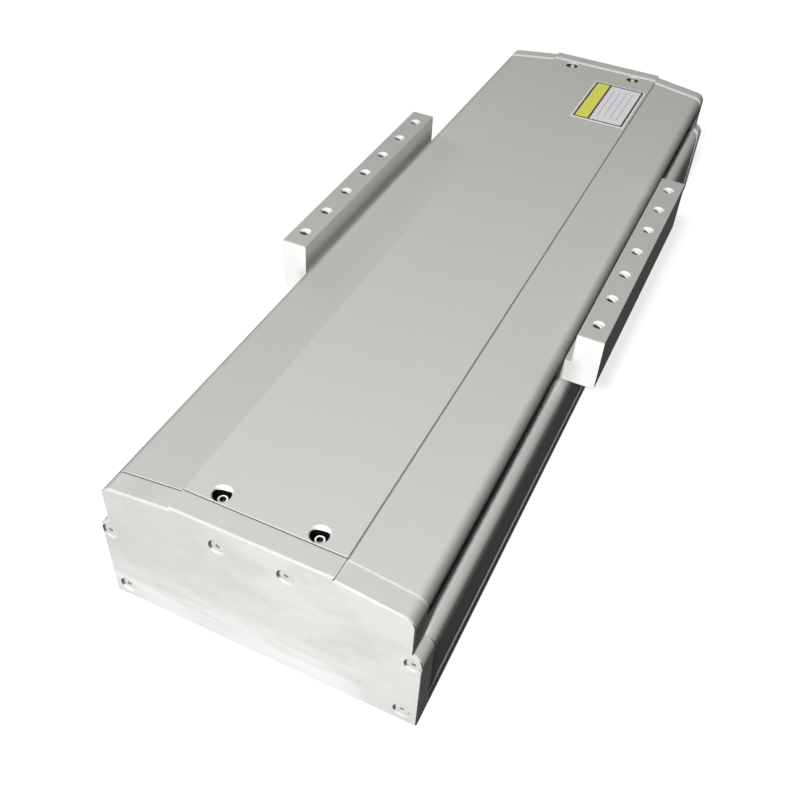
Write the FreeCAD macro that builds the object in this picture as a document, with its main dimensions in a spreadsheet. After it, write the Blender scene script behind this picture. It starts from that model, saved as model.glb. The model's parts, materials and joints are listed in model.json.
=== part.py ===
import FreeCAD, Part
import math
import os
import Sketcher

# Ball screw linear stage, in millimetres.
# X is the width, Y the length and the travel, Z is up.
# The origin is on the floor, at the middle of the stage's length and width.

SIZES = {
    # The whole stage and its two end plates
    "overall_length": 704.0,
    "base_width": 220.0,
    "plate_thickness": 16.0,
    "plate_edge_break": 0.8,
    "joint_edge_break": 0.35,
    # Base extrusion: a trough with rounded shoulders and a rail pad each side
    "base_height": 75.8,
    "shoulder_radius": 9.5,
    "wall_thickness": 13.0,
    "floor_thickness": 14.0,
    "rail_pad_width": 24.0,
    "rail_pad_height": 16.0,
    "foot_edge_radius": 1.0,
    "side_setback": 0.8,
    "side_slot_height": 17.4,
    "side_slot_mouth": 5.2,
    "side_slot_lip": 1.5,
    "side_slot_chamber": 8.5,
    "side_slot_depth": 6.0,
    # Mounting threads in the underside, M8
    "foot_hole_inset": 25.0,
    "foot_hole_pitch": 120.0,
    "foot_hole_end_margin": 36.0,
    "foot_hole_radius": 3.4,
    "foot_hole_depth": 12.0,
    # Carriage: two L-shaped side arms on a saddle
    "carriage_rest": 24.5,
    "carriage_length": 240.0,
    "arm_gap": 1.0,
    "arm_foot_thickness": 18.2,
    "bar_height": 43.2,
    "bar_width": 20.0,
    "bar_inset": 1.5,
    "arm_edge_break": 0.5,
    "bar_hole_pitch": 34.0,
    "bar_hole_end_margin": 18.0,
    "bar_hole_radius": 3.4,
    "bar_hole_mouth_radius": 4.5,
    "bar_hole_depth": 25.0,
    "ledge_width": 18.0,
    "tunnel_gap": 1.0,
    "tunnel_roof": 9.0,
    "seat_clearance": 0.2,
    "block_bolt_recess": 1.0,
    "arm_bolt_inner": 40.0,
    "arm_bolt_end_margin": 8.0,
    # Cover shell: a raised flat centre and shoulders that fall to the sides
    "cover_inset": 6.5,
    "cover_wall": 4.0,
    "cover_lip_gap": 1.5,
    "cover_height": 18.7,
    "cover_centre_width": 107.6,
    "cover_step": 1.9,
    "cover_fall": 6.5,
    "cover_corner_radius": 8.0,
    "cover_rib_width": 16.0,
    "cover_rib_depth": 12.0,
    "cover_screw_offset": 32.3,
    "cover_screw_setback": 7.3,
    "cover_screw_length": 14.0,
    "cover_bore_gap": 2.4,
    "cover_bore_depth": 9.2,
    "cover_bore_edge": 0.8,
    # Bracket under each end of the cover
    "cover_bracket_half_width": 50.0,
    "cover_bracket_depth": 18.0,
    "cover_bracket_height": 15.2,
    # End plate screws, M5 countersunk
    "upper_screw_inset": 6.0,
    "upper_screw_drop": 11.3,
    "lower_screw_inset": 10.5,
    "lower_screw_height": 11.0,
    "top_screw_offset": 22.7,
    "top_screw_drop": 18.7,
    "sink_gap": 1.2,
    "plate_screw_length": 28.0,
    # Motor face on the rear plate, for an 80 mm servo
    "motor_pilot_radius": 35.0,
    "motor_pilot_depth": 4.0,
    "motor_bore_radius": 28.0,
    "motor_bolt_circle": 45.0,
    "motor_bolt_count": 4.0,
    "motor_thread_radius": 2.5,
    # Profile rail guides, size 20
    "rail_wall_gap": 35.0,
    "rail_width": 20.0,
    "rail_height": 17.5,
    "rail_end_gap": 16.0,
    "rail_hole_pitch": 60.0,
    "rail_end_margin": 20.0,
    "rail_counterbore_depth": 9.0,
    "rail_thread_depth": 10.0,
    "race_radius": 1.8,
    "race_overlap": 0.2,
    "lower_race_height": 7.5,
    "upper_race_height": 13.5,
    "guide_ball_radius": 1.5,
    "guide_ball_pitch": 3.4,
    "guide_ball_count": 8.0,
    "block_height": 30.0,
    "block_foot_gap": 4.6,
    "block_width": 44.0,
    "block_steel_length": 55.5,
    "block_channel_gap": 0.4,
    "block_channel_roof": 2.5,
    "block_end_inset": 2.25,
    "block_bolt_x": 16.0,
    "block_bolt_y": 18.0,
    "block_thread_depth": 9.0,
    "cap_length": 10.0,
    "cap_inset": 0.6,
    "seal_thickness": 1.0,
    # Ball screw, 25 mm with a 10 mm lead, and its nut
    "screw_radius": 12.5,
    "journal_radius": 10.0,
    "journal_overhang": 4.0,
    "drive_journal_radius": 7.0,
    "shaft_chamfer": 1.0,
    "nut_radius": 20.0,
    "nut_length": 85.0,
    "nut_bore_gap": 0.3,
    "flange_radius": 31.0,
    "flange_thickness": 10.0,
    "flange_bolt_circle": 25.5,
    "flange_bolt_count": 6.0,
    "wiper_outer_radius": 17.0,
    "wiper_thickness": 4.0,
    "bracket_half_width": 33.0,
    "bracket_floor_gap": 6.0,
    "bracket_length": 30.0,
    "bracket_bolt_x": 24.0,
    "bracket_bolt_y": 9.0,
    "bracket_thread_depth": 12.0,
    "flange_thread_depth": 14.0,
    # Screw bearings, 20 by 42 by 12
    "bearing_radius": 21.0,
    "bearing_width": 12.0,
    "ring_wall": 3.5,
    "bearing_ball_radius": 3.0,
    "bearing_race_radius": 3.3,
    "bearing_ball_count": 9.0,
    # Housings that hold the bearings on the base floor
    "housing_side_gap": 1.0,
    "housing_head_gap": 2.0,
    "housing_lip_gap": 2.5,
    "support_housing_length": 22.0,
    "support_lip": 4.0,
    "fixed_housing_setback": 46.0,
    "fixed_housing_length": 44.0,
    "fixed_lip": 14.0,
    "spacer_length": 4.0,
    "housing_bolt_inset": 9.0,
    "housing_bolt_margin": 10.0,
    "housing_thread_depth": 10.0,
    "retainer_edge": 4.0,
    "retainer_thickness": 6.0,
    "retainer_bore_gap": 1.5,
    "retainer_bolt_gap": 4.0,
    "retainer_bolt_count": 4.0,
    "retainer_thread_depth": 12.0,
    "lock_nut_radius": 15.0,
    "lock_nut_length": 11.0,
    "lock_nut_slot": 5.0,
    "lock_nut_slot_count": 4.0,
    "circlip_rise": 1.5,
    "circlip_thickness": 1.2,
    "circlip_angle": 320.0,
    "circlip_groove_depth": 0.6,
    # End stops for the carriage
    "bumper_radius": 6.0,
    "bumper_length": 7.5,
    "bumper_inset": 7.0,
    "bumper_drop": 6.8,
    "bumper_edge_share": 0.3,
    # Jaw coupling to the motor
    "coupling_radius": 22.0,
    "coupling_gap": 2.0,
    "hub_length": 18.0,
    "jaw_length": 8.0,
    "jaw_root_radius": 9.0,
    "jaw_gap": 0.5,
    "jaw_angle": 42.0,
    "spider_leg_angle": 17.0,
    "clamp_screw_offset": 14.0,
    # Blank label plate on the cover
    "label_inner_offset": 0.4,
    "label_outer_margin": 1.8,
    "label_length": 84.0,
    "label_setback": 46.2,
    "label_thickness": 0.3,
    # Socket screws: shank, head and hexagon
    "m4_radius": 2.0,
    "m4_head_radius": 3.5,
    "m4_head_height": 4.0,
    "m4_socket": 3.0,
    "m5_radius": 2.5,
    "m5_head_radius": 4.25,
    "m5_head_height": 5.0,
    "m5_socket": 4.0,
    "m6_radius": 3.0,
    "m6_head_radius": 5.0,
    "m6_head_height": 6.0,
    "m6_socket": 5.0,
    "m5_sunk_head_radius": 4.65,
    "m5_sunk_socket": 3.0,
    "socket_share": 0.5,
    "head_edge_share": 0.1,
    "hole_clearance": 0.3,
    "head_clearance": 0.5,
    "thread_clearance": 0.05,
    "thread_runout": 2.0,
    "fit_clearance": 0.02,
}

doc = FreeCAD.newDocument("linear_stage")
sheet = doc.addObject("Spreadsheet::Sheet", "dims")
for row, (alias, number) in enumerate(SIZES.items(), start=1):
    sheet.set("A%d" % row, alias)
    sheet.set("B%d" % row, str(number))
    sheet.setAlias("B%d" % row, alias)
doc.recompute()

NODES = {}


class Size:
    """A length that knows its number and the sheet formula that gives it."""

    def __init__(self, formula, number):
        self.formula = formula
        self.number = number

    def __add__(self, other):
        other = as_size(other)
        return Size("(%s + %s)" % (self.formula, other.formula), self.number + other.number)

    def __sub__(self, other):
        other = as_size(other)
        return Size("(%s - %s)" % (self.formula, other.formula), self.number - other.number)

    def __mul__(self, other):
        other = as_size(other)
        return Size("(%s * %s)" % (self.formula, other.formula), self.number * other.number)

    def __truediv__(self, other):
        other = as_size(other)
        return Size("(%s / %s)" % (self.formula, other.formula), self.number / other.number)

    def __neg__(self):
        return Size("(0 - %s)" % self.formula, -self.number)

    def __radd__(self, other):
        return as_size(other) + self

    def __rsub__(self, other):
        return as_size(other) - self

    def __rmul__(self, other):
        return as_size(other) * self

    def __float__(self):
        return float(self.number)


def as_size(value):
    if isinstance(value, Size):
        return value
    return Size("%r" % float(value), float(value))


def square_root(size):
    return Size("sqrt(%s)" % size.formula, math.sqrt(size.number))


class SheetSizes:
    """Gives each size of the sheet by its alias."""

    def __getattr__(self, alias):
        return Size("dims." + alias, float(sheet.get(alias)))


D = SheetSizes()


def vector(x, y, z):
    return FreeCAD.Vector(float(x), float(y), float(z))


# Planes and places that several pieces share

half_length = D.overall_length / 2
extrusion_length = D.overall_length - 2 * D.plate_thickness
plate_seat = extrusion_length / 2
base_half = D.base_width / 2
wall_half = base_half - D.side_setback
shoulder_start = D.base_height - D.shoulder_radius
inner_wall = base_half - D.wall_thickness
rail_seat = D.floor_thickness + D.rail_pad_height
rail_length = extrusion_length - 2 * D.rail_end_gap
rail_offset = inner_wall - D.rail_wall_gap
race_offset = D.rail_width / 2 + D.race_overlap
rail_pad_inner = rail_offset - D.rail_pad_width / 2
rail_pad_outer = rail_offset + D.rail_pad_width / 2
block_top = rail_seat + D.block_height
block_end_length = D.cap_length + D.seal_thickness
block_reach = (D.carriage_length - D.block_steel_length) / 2 - block_end_length - D.block_end_inset

arm_bottom = D.base_height + D.arm_gap
arm_top = arm_bottom + D.arm_foot_thickness
bar_top = arm_bottom + D.bar_height
bar_inner_offset = base_half - D.bar_inset
bar_outer = bar_inner_offset + D.bar_width
bar_middle = bar_inner_offset + D.bar_width / 2
saddle_half_width = rail_offset + D.block_width / 2
saddle_ledge = saddle_half_width - D.ledge_width
tunnel_half_width = D.bracket_half_width + D.tunnel_gap
tunnel_top = arm_top - D.tunnel_roof
arm_bolt_offset = saddle_half_width - D.ledge_width / 2
arm_bolt_outer = D.carriage_length / 2 - D.arm_bolt_end_margin
block_screw_seat = arm_bottom - D.m5_head_height - D.block_bolt_recess

lip_bottom = arm_top + D.cover_lip_gap
cover_top = lip_bottom + D.cover_height
cover_half = base_half - D.cover_inset
centre_half = D.cover_centre_width / 2
fall_top = cover_top - D.cover_step
fall_bottom = fall_top - D.cover_fall
rib_bottom = cover_top - D.cover_rib_depth
cover_screw_y = plate_seat - D.cover_screw_setback
cover_bracket_bottom = rib_bottom - D.cover_bracket_height
cover_bore_radius = D.m4_head_radius + D.cover_bore_gap
plate_sink_radius = D.m5_sunk_head_radius + D.sink_gap
label_width = centre_half - D.label_inner_offset - D.label_outer_margin

screw_height = (D.floor_thickness + tunnel_top) / 2
nut_bore_radius = D.screw_radius + D.nut_bore_gap
bracket_bottom = D.floor_thickness + D.bracket_floor_gap
nut_bracket_start = D.carriage_rest - D.bracket_length / 2
nut_start = nut_bracket_start - D.flange_thickness

housing_half_width = rail_pad_inner - D.housing_side_gap
housing_top = cover_bracket_bottom - D.m6_head_height - D.housing_head_gap
housing_lip_radius = D.screw_radius + D.housing_lip_gap
housing_bolt_offset = housing_half_width - D.housing_bolt_inset
fixed_housing_end = plate_seat - D.fixed_housing_setback
fixed_housing_start = fixed_housing_end - D.fixed_housing_length
fixed_bearing_start = fixed_housing_start + D.fixed_lip
fixed_bearing_end = fixed_bearing_start + 2 * D.bearing_width
support_housing_end = plate_seat - D.support_housing_length
screw_shoulder_front = support_housing_end + D.support_lip
support_bearing_end = screw_shoulder_front + D.bearing_width
journal_front_end = support_bearing_end + D.journal_overhang
retainer_bolt_circle = D.bearing_radius + D.retainer_bolt_gap
retainer_radius = retainer_bolt_circle + D.retainer_edge
retainer_bore_radius = D.lock_nut_radius + D.retainer_bore_gap
bumper_offset = housing_half_width - D.bumper_inset
bumper_height = arm_bottom - D.bumper_drop
coupling_start = fixed_housing_end + D.retainer_thickness + D.m4_head_height + D.coupling_gap


# Building blocks: every size is bound to the sheet

def bind(thing, path, size):
    thing.setExpression(path, as_size(size).formula)


def place(thing, x=0, y=0, z=0, axis=(0, 0, 1), angle=0):
    """Turn a thing about its own origin, then set it at bound coordinates."""
    thing.Placement = FreeCAD.Placement(vector(x, y, z), FreeCAD.Rotation(vector(*axis), angle))
    for letter, size in zip("xyz", (x, y, z)):
        if isinstance(size, Size):
            bind(thing, "Placement.Base." + letter, size)
    return thing


def node(name, thing):
    """Name a finished sub-part, which also names its file."""
    thing.Label = name
    NODES[name] = thing
    return thing


def new_body(name):
    return doc.addObject("PartDesign::Body", name + "_body")


def sketch_on(body, role, offset=None):
    """A sketch on one of the body's origin planes, moved along the plane's normal."""
    sketch = body.newObject("Sketcher::SketchObject", "sketch")
    plane = [feature for feature in body.Origin.OriginFeatures if feature.Role == role][0]
    sketch.AttachmentSupport = [(plane, "")]
    sketch.MapMode = "FlatFace"
    if offset is not None:
        sketch.AttachmentOffset = FreeCAD.Placement(vector(0, 0, offset), FreeCAD.Rotation())
        bind(sketch, "AttachmentOffset.Base.z", offset)
    return sketch


def hold_point(geometry, point, x, y):
    """The two constraints that hold a point at its distances from the sketch's origin."""
    held = []
    for kind, axis, size in (("DistanceX", -2, as_size(x)), ("DistanceY", -1, as_size(y))):
        if size.formula == "0.0":
            held.append((Sketcher.Constraint("PointOnObject", geometry, point, axis), None))
        else:
            held.append((Sketcher.Constraint(kind, -1, 1, geometry, point, size.number), size.formula))
    return held


def add_constraints(sketch, held):
    indices = sketch.addConstraint([constraint for constraint, formula in held])
    for index, (constraint, formula) in zip(indices, held):
        if formula is not None:
            sketch.setExpression("Constraints[%d]" % index, formula)


def outline(sketch, corners, arcs=None):
    """A closed outline, counter-clockwise; arcs gives centre and radius of a round side."""
    arcs = arcs or {}
    count = len(corners)
    sides = []
    held = []
    for i, (x, y) in enumerate(corners):
        following = corners[(i + 1) % count]
        start = vector(x, y, 0)
        end = vector(following[0], following[1], 0)
        if i in arcs:
            centre, radius = arcs[i]
            middle = vector(centre[0], centre[1], 0)
            circle = Part.Circle(middle, vector(0, 0, 1), float(radius))
            first = math.atan2(start.y - middle.y, start.x - middle.x)
            last = math.atan2(end.y - middle.y, end.x - middle.x)
            sides.append(Part.ArcOfCircle(circle, first, last))
            held.append((Sketcher.Constraint("Radius", i, float(radius)), as_size(radius).formula))
        else:
            sides.append(Part.LineSegment(start, end))
        held.append((Sketcher.Constraint("Coincident", i, 2, (i + 1) % count, 1), None))
        held += hold_point(i, 1, x, y)
    sketch.addGeometry(sides)
    add_constraints(sketch, held)


def circles(sketch, centres, radius):
    held = []
    for i, (x, y) in enumerate(centres):
        sketch.addGeometry(Part.Circle(vector(x, y, 0), vector(0, 0, 1), float(radius)))
        held += hold_point(i, 3, x, y)
        held.append((Sketcher.Constraint("Radius", i, float(radius)), as_size(radius).formula))
    add_constraints(sketch, held)


def pad(body, sketch, length, symmetric=False, reverse=False):
    feature = body.newObject("PartDesign::Pad", "pad")
    feature.Profile = sketch
    bind(feature, "Length", length)
    feature.Reversed = reverse
    if symmetric:
        feature.SideType = "Symmetric"
    doc.recompute()
    return feature


def require_cut(feature, before):
    """Stop when a cut has missed the solid."""
    if feature.Shape.Volume > before - 1e-6:
        raise RuntimeError(feature.Name + " cuts nothing")


def pocket(body, sketch, depth, reverse=False, symmetric=False):
    before = body.Shape.Volume
    feature = body.newObject("PartDesign::Pocket", "pocket")
    feature.Profile = sketch
    bind(feature, "Length", depth)
    feature.Reversed = reverse
    if symmetric:
        feature.SideType = "Symmetric"
    doc.recompute()
    require_cut(feature, before)
    return feature


def drill(body, sketch, radius, depth=None, counterbore=None, countersink=None, reverse=False):
    """Holes at the circles of a sketch; counterbore is a radius and a depth."""
    before = body.Shape.Volume
    doc.recompute()
    feature = body.newObject("PartDesign::Hole", "hole")
    feature.Profile = sketch
    feature.Reversed = reverse
    feature.DrillPoint = "Flat"
    bind(feature, "Diameter", 2 * radius)
    if depth is None:
        feature.DepthType = "ThroughAll"
    else:
        feature.DepthType = "Dimension"
        bind(feature, "Depth", depth)
    if counterbore is not None:
        feature.HoleCutType = "Counterbore"
        bind(feature, "HoleCutDiameter", 2 * counterbore[0])
        bind(feature, "HoleCutDepth", counterbore[1])
    if countersink is not None:
        feature.HoleCutType = "Countersink"
        feature.HoleCutCountersinkAngle = 90
        bind(feature, "HoleCutDiameter", 2 * countersink)
    doc.recompute()
    require_cut(feature, before)
    return feature


def edge_names(shape, test):
    return ["Edge%d" % (i + 1) for i, edge in enumerate(shape.Edges) if test(edge.BoundBox)]


def runs_along_y(places):
    """True for straight edges along Y at one of the given places in X and Z."""
    def test(box):
        if box.XLength > 0.01 or box.ZLength > 0.01:
            return False
        return any(abs(box.Center.x - float(x)) < 0.01 and abs(box.Center.z - float(z)) < 0.01
                   for x, z in places)
    return test


def lies_on_y(y):
    """True for edges that lie in the plane at the given Y."""
    return lambda box: box.YLength < 0.001 and abs(box.Center.y - float(y)) < 0.001


def is_mouth(radius, z):
    """True for round edges of the given radius that lie in the plane at the given Z."""
    return lambda box: (box.ZLength < 0.001 and abs(box.Center.z - float(z)) < 0.001
                        and abs(box.XLength - 2 * float(radius)) < 0.01)


def lies_on_z(z):
    """True for edges that lie in the plane at the given Z."""
    return lambda box: box.ZLength < 0.001 and abs(box.Center.z - float(z)) < 0.001


def dress(body, kind, size, test):
    """Fillet or chamfer the edges of the body's last feature that pass a test."""
    last = body.Tip
    names = edge_names(last.Shape, test)
    feature = body.newObject("PartDesign::" + kind, kind.lower())
    feature.Base = (last, names)
    bind(feature, "Radius" if kind == "Fillet" else "Size", size)
    doc.recompute()
    return feature


def mirrored(corners):
    """Right-hand corners, then the same corners on the left in reverse order."""
    return corners + [(-x, z) for x, z in reversed(corners)]


def both_sides(x, *others):
    return [(side * x,) + others for side in (1, -1)]


def block(width, depth, height, x, y, z):
    """A box centred on x, from y and z upwards."""
    thing = doc.addObject("Part::Box", "box")
    bind(thing, "Length", width)
    bind(thing, "Width", depth)
    bind(thing, "Height", height)
    return place(thing, x - width / 2, y, z)


def rod(radius, length, x, y, z, along="y"):
    """A cylinder that starts at a point and runs along +Y, +X or +Z."""
    thing = doc.addObject("Part::Cylinder", "rod")
    bind(thing, "Radius", radius)
    bind(thing, "Height", length)
    turns = {"x": ((0, 1, 0), 90), "y": ((1, 0, 0), -90), "z": ((0, 0, 1), 0)}
    axis, angle = turns[along]
    return place(thing, x, y, z, axis, angle)


def cut(base, tools):
    tool = tools[0]
    if len(tools) > 1:
        tool = doc.addObject("Part::MultiFuse", "tools")
        tool.Shapes = tools
    result = doc.addObject("Part::Cut", "cut")
    result.Base = base
    result.Tool = tool
    return result


def fuse(shapes):
    result = doc.addObject("Part::MultiFuse", "fusion")
    result.Shapes = shapes
    return result


def group(name, shapes):
    """Separate solids that share one node."""
    feature = doc.addObject("Part::Feature", name + "_group")
    feature.Shape = Part.makeCompound(shapes)
    feature.Placement = FreeCAD.Placement()
    return node(name, feature)


def copies(shape, places, facing=(0, 0, 1)):
    """Copies of a shape at points, its own +Z turned to face a direction."""
    turn = FreeCAD.Rotation(vector(0, 0, 1), vector(*facing))
    result = []
    for x, y, z in places:
        copy = shape.copy()
        copy.Placement = FreeCAD.Placement(vector(x, y, z), turn)
        result.append(copy)
    return result


def hexagon(across_flats, depth, top):
    radius = float(across_flats) / math.sqrt(3)
    corners = [FreeCAD.Vector(radius * math.cos(math.radians(60 * i)),
                              radius * math.sin(math.radians(60 * i)), top) for i in range(7)]
    return Part.Face(Part.makePolygon(corners)).extrude(FreeCAD.Vector(0, 0, -depth))


def cap_screw(size, length):
    """A socket cap screw: seat of the head at the origin, shank down, head up."""
    radius = float(getattr(D, size + "_radius"))
    head_radius = float(getattr(D, size + "_head_radius"))
    head_height = float(getattr(D, size + "_head_height"))
    socket = getattr(D, size + "_socket")
    shank = Part.makeCylinder(radius, float(length) + head_height, vector(0, 0, -length))
    head = Part.makeCylinder(head_radius, head_height)
    rim = [edge for edge in head.Edges if edge.BoundBox.ZMin > head_height - 0.01]
    head = head.makeChamfer(float(D.head_edge_share) * head_radius, rim)
    screw = shank.fuse(head).removeSplitter()
    return screw.cut(hexagon(socket, float(D.socket_share) * head_height, head_height))


def sunk_screw(length):
    """An M5 countersunk screw: flat top of the head at the origin, shank down."""
    radius = float(D.m5_radius)
    head_radius = float(D.m5_sunk_head_radius)
    cone = Part.makeCone(radius, head_radius, head_radius - radius, vector(0, 0, radius - head_radius))
    shank = Part.makeCylinder(radius, float(length), vector(0, 0, -length))
    screw = shank.fuse(cone).removeSplitter()
    return screw.cut(hexagon(D.m5_sunk_socket, head_radius - radius, 0))


def turned(name, corners):
    """A body of revolution about its own Y axis, from radius and Y pairs."""
    body = new_body(name)
    sketch = sketch_on(body, "XY_Plane")
    outline(sketch, corners)
    feature = body.newObject("PartDesign::Revolution", "revolution")
    feature.Profile = sketch
    feature.ReferenceAxis = (sketch, ["V_Axis"])
    feature.Angle = 360
    doc.recompute()
    return body


def on_circle(radius, count, first=0.0):
    """Points of a bolt circle in X and Z, as sizes."""
    points = []
    for i in range(int(count)):
        angle = math.radians(first + 360.0 * i / int(count))
        points.append((radius * round(math.cos(angle), 9), radius * round(math.sin(angle), 9)))
    return points


def centred_row(pitch, count):
    """Positions along a row about zero."""
    return [pitch * (i - (int(count) - 1) / 2.0) for i in range(int(count))]


def fitted_row(pitch, length, margin):
    """A centred row with as many places as fit between two end margins."""
    spans = float(length - 2 * margin) / float(pitch)
    return centred_row(pitch, math.floor(spans + 1e-6) + 1)


# Outline of the base's right half, from the foot to the shoulder

slot_lip = wall_half - D.side_slot_lip
slot_back = wall_half - D.side_slot_depth
side_slot = [
    (base_half, D.side_slot_height - D.side_slot_mouth / 2),
    (slot_lip, D.side_slot_height - D.side_slot_mouth / 2),
    (slot_lip, D.side_slot_height - D.side_slot_chamber / 2),
    (slot_back, D.side_slot_height - D.side_slot_chamber / 2),
    (slot_back, D.side_slot_height + D.side_slot_chamber / 2),
    (slot_lip, D.side_slot_height + D.side_slot_chamber / 2),
    (slot_lip, D.side_slot_height + D.side_slot_mouth / 2),
    (wall_half, D.side_slot_height + D.side_slot_mouth / 2),
]

top_screw_places = both_sides(D.top_screw_offset, cover_top - D.top_screw_drop)
plate_screw_places = (
    both_sides(base_half - D.upper_screw_inset, D.base_height - D.upper_screw_drop)
    + both_sides(base_half - D.lower_screw_inset, D.lower_screw_height)
    + top_screw_places
)
plate_thread_depth = D.plate_screw_length - D.plate_thickness + D.thread_runout
block_centres = [D.carriage_rest + block_reach, D.carriage_rest - block_reach]
rail_holes = fitted_row(D.rail_hole_pitch, rail_length, D.rail_end_margin)
support_bolt_y = [plate_seat - D.support_housing_length / 2]
fixed_bolt_y = [fixed_housing_start + D.housing_bolt_margin, fixed_housing_end - D.housing_bolt_margin]
foot_hole_ys = fitted_row(D.foot_hole_pitch, extrusion_length, D.foot_hole_end_margin)


# Base extrusion

def make_base_extrusion():
    body = new_body("base_extrusion")
    right = [(base_half, 0)] + side_slot + [
        (wall_half, shoulder_start),
        (wall_half - D.shoulder_radius, D.base_height),
        (inner_wall, D.base_height),
        (inner_wall, D.floor_thickness),
        (rail_pad_outer, D.floor_thickness),
        (rail_pad_outer, rail_seat),
        (rail_pad_inner, rail_seat),
        (rail_pad_inner, D.floor_thickness),
    ]
    corners = mirrored(right)
    first_arc = 1 + len(side_slot)
    last_arc = len(corners) - 2 - first_arc
    arcs = {
        first_arc: ((wall_half - D.shoulder_radius, shoulder_start), D.shoulder_radius),
        last_arc: ((D.shoulder_radius - wall_half, shoulder_start), D.shoulder_radius),
    }
    section = sketch_on(body, "XZ_Plane")
    outline(section, corners, arcs)
    pad(body, section, extrusion_length, symmetric=True)
    dress(body, "Fillet", D.foot_edge_radius, runs_along_y(both_sides(base_half, 0)))

    for side in (1, -1):
        threads = sketch_on(body, "XZ_Plane", side * plate_seat)
        circles(threads, plate_screw_places[:4], D.m5_radius + D.thread_clearance)
        pocket(body, threads, plate_thread_depth, reverse=side < 0)

    feet = sketch_on(body, "XY_Plane")
    places = [place_ for y in foot_hole_ys for place_ in both_sides(base_half - D.foot_hole_inset, y)]
    circles(feet, places, D.foot_hole_radius)
    pocket(body, feet, D.foot_hole_depth, reverse=True)

    rail_threads = sketch_on(body, "XY_Plane", rail_seat)
    places = [place_ for y in rail_holes for place_ in both_sides(rail_offset, y)]
    circles(rail_threads, places, D.m5_radius + D.thread_clearance)
    pocket(body, rail_threads, D.rail_thread_depth)

    housing_threads = sketch_on(body, "XY_Plane", D.floor_thickness)
    rows = [-y for y in support_bolt_y] + fixed_bolt_y
    places = [place_ for y in rows for place_ in both_sides(housing_bolt_offset, y)]
    circles(housing_threads, places, D.m6_radius + D.thread_clearance)
    pocket(body, housing_threads, D.housing_thread_depth)
    node("base_extrusion", body)


# Cover shell over the whole extrusion

def make_top_cover():
    body = new_body("top_cover")
    wall = D.cover_wall
    inner_half = cover_half - wall
    inner_corner = fall_bottom - wall + D.cover_fall * wall / (cover_half - centre_half)
    rib_outer = D.cover_screw_offset + D.cover_rib_width / 2
    rib_inner = D.cover_screw_offset - D.cover_rib_width / 2
    outer_right = [
        (cover_half, lip_bottom),
        (cover_half, fall_bottom),
        (centre_half, fall_top),
        (centre_half, cover_top),
    ]
    inner_right = [
        (rib_inner, cover_top - wall),
        (rib_inner, rib_bottom),
        (rib_outer, rib_bottom),
        (rib_outer, cover_top - wall),
        (centre_half - wall, cover_top - wall),
        (centre_half - wall, fall_top - wall),
        (centre_half, fall_top - wall),
        (inner_half, inner_corner),
        (inner_half, lip_bottom),
    ]
    inner_left = [(-x, z) for x, z in reversed(inner_right)]
    outer_left = [(-x, z) for x, z in reversed(outer_right)]
    section = sketch_on(body, "XZ_Plane")
    outline(section, outer_right + outer_left + inner_left + inner_right)
    pad(body, section, extrusion_length, symmetric=True)
    dress(body, "Fillet", D.cover_corner_radius, runs_along_y(both_sides(cover_half, fall_bottom)))
    dress(body, "Fillet", D.cover_corner_radius - wall, runs_along_y(both_sides(inner_half, inner_corner)))
    for side in (1, -1):
        dress(body, "Chamfer", D.joint_edge_break, lies_on_y(side * plate_seat))
    holes = sketch_on(body, "XY_Plane", cover_top)
    places = [place_ for y in (cover_screw_y, -cover_screw_y)
              for place_ in both_sides(D.cover_screw_offset, y)]
    clearance = D.m4_radius + D.hole_clearance
    circles(holes, places, clearance)
    drill(body, holes, clearance, counterbore=(cover_bore_radius, D.cover_bore_depth))
    dress(body, "Chamfer", D.cover_bore_edge, is_mouth(cover_bore_radius, cover_top))
    node("top_cover", body)


# End plates, each with the whole section's silhouette

def end_plate(name):
    """A plate whose outer face is at its own y = 0 and whose inner face is at +Y."""
    body = new_body(name)
    reach = cover_half - base_half + D.shoulder_radius
    notch = shoulder_start + square_root(D.shoulder_radius * D.shoulder_radius - reach * reach)
    right = [
        (base_half, 0),
        (base_half, shoulder_start),
        (cover_half, notch),
        (cover_half, fall_bottom),
        (centre_half, fall_top),
        (centre_half, cover_top),
    ]
    corners = mirrored(right)
    arcs = {
        1: ((base_half - D.shoulder_radius, shoulder_start), D.shoulder_radius),
        len(corners) - 3: ((D.shoulder_radius - base_half, shoulder_start), D.shoulder_radius),
    }
    section = sketch_on(body, "XZ_Plane")
    outline(section, corners, arcs)
    pad(body, section, D.plate_thickness, reverse=True)
    dress(body, "Fillet", D.cover_corner_radius, runs_along_y(both_sides(cover_half, fall_bottom)))
    dress(body, "Fillet", D.foot_edge_radius, runs_along_y(both_sides(base_half, 0)))
    dress(body, "Chamfer", D.plate_edge_break, lies_on_y(0))
    dress(body, "Chamfer", D.joint_edge_break, lies_on_y(D.plate_thickness))
    holes = sketch_on(body, "XZ_Plane")
    clearance = D.m5_radius + D.hole_clearance
    circles(holes, plate_screw_places, clearance)
    drill(body, holes, clearance, countersink=plate_sink_radius)
    return body


def make_end_plates():
    front = end_plate("front_end_plate")
    place(front, 0, -half_length, 0)
    node("front_end_plate", front)

    rear = end_plate("rear_end_plate")
    bore = sketch_on(rear, "XZ_Plane")
    circles(bore, [(0, screw_height)], D.motor_bore_radius)
    pocket(rear, bore, D.plate_thickness)
    pilot = sketch_on(rear, "XZ_Plane")
    circles(pilot, [(0, screw_height)], D.motor_pilot_radius)
    pocket(rear, pilot, D.motor_pilot_depth)
    threads = sketch_on(rear, "XZ_Plane")
    bolts = on_circle(D.motor_bolt_circle, D.motor_bolt_count.number, 45.0)
    circles(threads, [(x, z + screw_height) for x, z in bolts], D.motor_thread_radius)
    pocket(rear, threads, D.plate_thickness)
    place(rear, 0, half_length, 0, (0, 0, 1), 180)
    node("rear_end_plate", rear)


# Brackets that carry the cover's ends and the plates' top screws

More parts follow.
